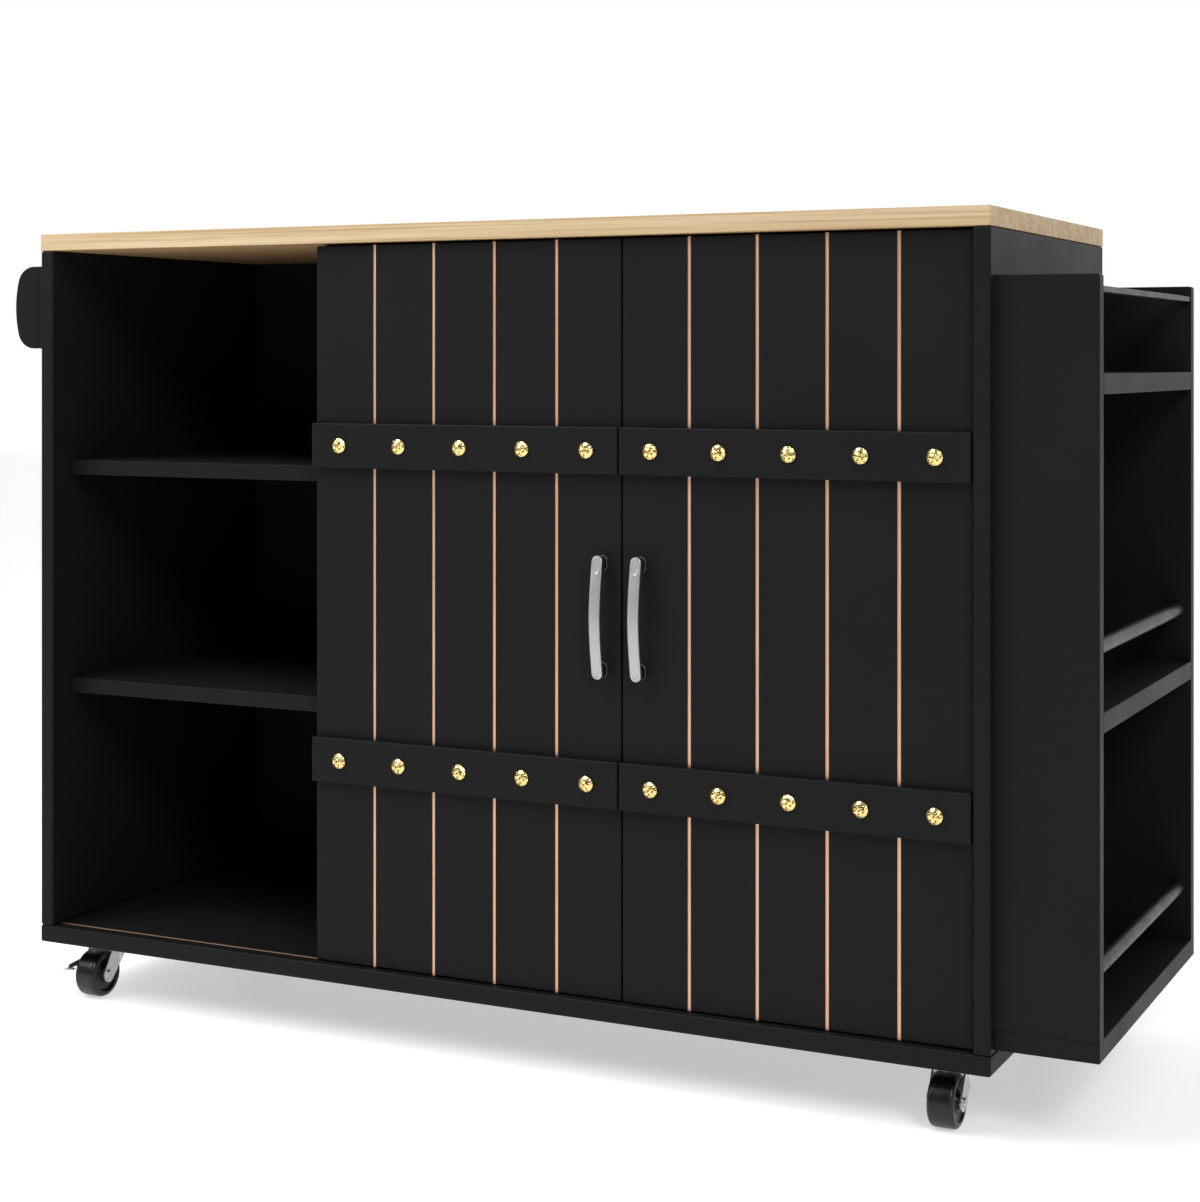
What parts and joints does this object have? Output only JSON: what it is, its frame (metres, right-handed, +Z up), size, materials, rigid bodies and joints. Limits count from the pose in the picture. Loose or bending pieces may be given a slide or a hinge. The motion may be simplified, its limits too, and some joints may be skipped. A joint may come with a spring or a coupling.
{
  "type": "kitchen island cart",
  "caption": "Rolling kitchen island cart: wood worktop, open shelf bay, plank-look double doors, side rack with guard rods, end towel rail and swivel casters.",
  "frame": {"origin": "bottom centre of the bounding box, on the floor under the wheels", "axes": "+X to the right seen from the front, along the long side towards the side rack; +Y from the doors to the back; +Z up"},
  "size_m": [1.3315, 0.472, 0.917],
  "materials": {
    "black_laminate": "satin black laminate on board",
    "light_wood": "pale straight-grained wood, satin",
    "black_rail": "satin black paint",
    "copper_line": "metallic copper inlay",
    "brass_stud": "polished hammered brass",
    "satin_nickel": "satin nickel",
    "zinc_plate": "bright zinc plate",
    "wheel_rubber": "smooth black",
    "dowel_wood": "raw beech",
    "fastener_steel": "zinc plated steel"
  },
  "bodies": {
    "cabinet": {"countertop": "light_wood", "base_board": "black_laminate", "left_side_panel": "black_laminate", "right_side_panel": "black_laminate", "center_divider": "black_laminate", "back_panel_left": "black_laminate", "back_panel_right": "black_laminate", "base_inlay_strip": "copper_line", "open_shelf_lower": "black_laminate", "open_shelf_upper": "black_laminate", "cabinet_shelf": "black_laminate", "shelf_pins": "fastener_steel", "panel_dowels": "dowel_wood", "assembly_screws": "fastener_steel", "countertop_brackets": "fastener_steel", "hinge_arms_left": "fastener_steel", "hinge_arms_right": "fastener_steel", "towel_bracket_front": "black_laminate", "towel_bracket_rear": "black_laminate", "towel_rod": "black_rail", "rack_base": "black_laminate", "rack_front_panel": "black_laminate", "rack_back_panel": "black_laminate", "rack_middle_shelf": "black_laminate", "rack_top_shelf": "black_laminate", "rack_top_rail": "black_rail", "rack_middle_rod": "black_rail", "rack_bottom_rod": "black_rail", "caster_plates": "zinc_plate", "caster_screws": "fastener_steel"},
    "door_left": {"door_left_panel": "black_laminate", "door_left_inlays": "copper_line", "door_left_upper_batten": "black_laminate", "door_left_lower_batten": "black_laminate", "door_left_studs": "brass_stud", "door_left_handle": "satin_nickel", "door_left_handle_screws": "fastener_steel", "door_left_hinge_cups": "fastener_steel"},
    "door_right": {"door_right_panel": "black_laminate", "door_right_inlays": "copper_line", "door_right_upper_batten": "black_laminate", "door_right_lower_batten": "black_laminate", "door_right_studs": "brass_stud", "door_right_handle": "satin_nickel", "door_right_handle_screws": "fastener_steel", "door_right_hinge_cups": "fastener_steel"},
    "caster_fl_swivel": {"caster_fl_fork": "zinc_plate", "caster_fl_axle": "zinc_plate"},
    "caster_fl_roller": {"caster_fl_wheel": "wheel_rubber"},
    "caster_fr_swivel": {"caster_fr_fork": "zinc_plate", "caster_fr_axle": "zinc_plate"},
    "caster_fr_roller": {"caster_fr_wheel": "wheel_rubber"},
    "caster_rl_swivel": {"caster_rl_fork": "zinc_plate", "caster_rl_axle": "zinc_plate"},
    "caster_rl_roller": {"caster_rl_wheel": "wheel_rubber"},
    "caster_rr_swivel": {"caster_rr_fork": "zinc_plate", "caster_rr_axle": "zinc_plate"},
    "caster_rr_roller": {"caster_rr_wheel": "wheel_rubber"},
    "caster_fl_brake": {"caster_fl_pedal": "zinc_plate"},
    "caster_rr_brake": {"caster_rr_pedal": "zinc_plate"}
  },
  "joints": [
    {"name": "left_door_hinge", "type": "hinge", "parent": "cabinet", "child": "door_left", "pos_m": [-0.22305, -0.196, 0.4585], "axis": [0, 0, -1], "range_deg": [0, 100]},
    {"name": "right_door_hinge", "type": "hinge", "parent": "cabinet", "child": "door_right", "pos_m": [0.54165, -0.226, 0.4585], "axis": [0, 0, 1], "range_deg": [0, 100]},
    {"name": "caster_fl_turn", "type": "hinge", "parent": "cabinet", "child": "caster_fl_swivel", "pos_m": [-0.55475, -0.162, 0.067], "axis": [0, 0, 1], "continuous": true},
    {"name": "caster_fl_roll", "type": "hinge", "parent": "caster_fl_swivel", "child": "caster_fl_roller", "pos_m": [-0.55475, -0.186, 0.027], "axis": [1, 0, 0], "continuous": true},
    {"name": "caster_fr_turn", "type": "hinge", "parent": "cabinet", "child": "caster_fr_swivel", "pos_m": [0.50625, -0.162, 0.067], "axis": [0, 0, 1], "continuous": true},
    {"name": "caster_fr_roll", "type": "hinge", "parent": "caster_fr_swivel", "child": "caster_fr_roller", "pos_m": [0.50625, -0.186, 0.027], "axis": [1, 0, 0], "continuous": true},
    {"name": "caster_rl_turn", "type": "hinge", "parent": "cabinet", "child": "caster_rl_swivel", "pos_m": [-0.55475, 0.174, 0.067], "axis": [0, 0, 1], "continuous": true},
    {"name": "caster_rl_roll", "type": "hinge", "parent": "caster_rl_swivel", "child": "caster_rl_roller", "pos_m": [-0.55475, 0.15, 0.027], "axis": [1, 0, 0], "continuous": true},
    {"name": "caster_rr_turn", "type": "hinge", "parent": "cabinet", "child": "caster_rr_swivel", "pos_m": [0.50625, 0.174, 0.067], "axis": [0, 0, 1], "continuous": true},
    {"name": "caster_rr_roll", "type": "hinge", "parent": "caster_rr_swivel", "child": "caster_rr_roller", "pos_m": [0.50625, 0.15, 0.027], "axis": [1, 0, 0], "continuous": true},
    {"name": "caster_fl_brake_press", "type": "hinge", "parent": "caster_fl_swivel", "child": "caster_fl_brake", "pos_m": [-0.55475, -0.176, 0.041], "axis": [1, 0, 0], "range_deg": [0, 10]},
    {"name": "caster_rr_brake_press", "type": "hinge", "parent": "caster_rr_swivel", "child": "caster_rr_brake", "pos_m": [0.50625, 0.16, 0.041], "axis": [1, 0, 0], "range_deg": [0, 10]}
  ]
}
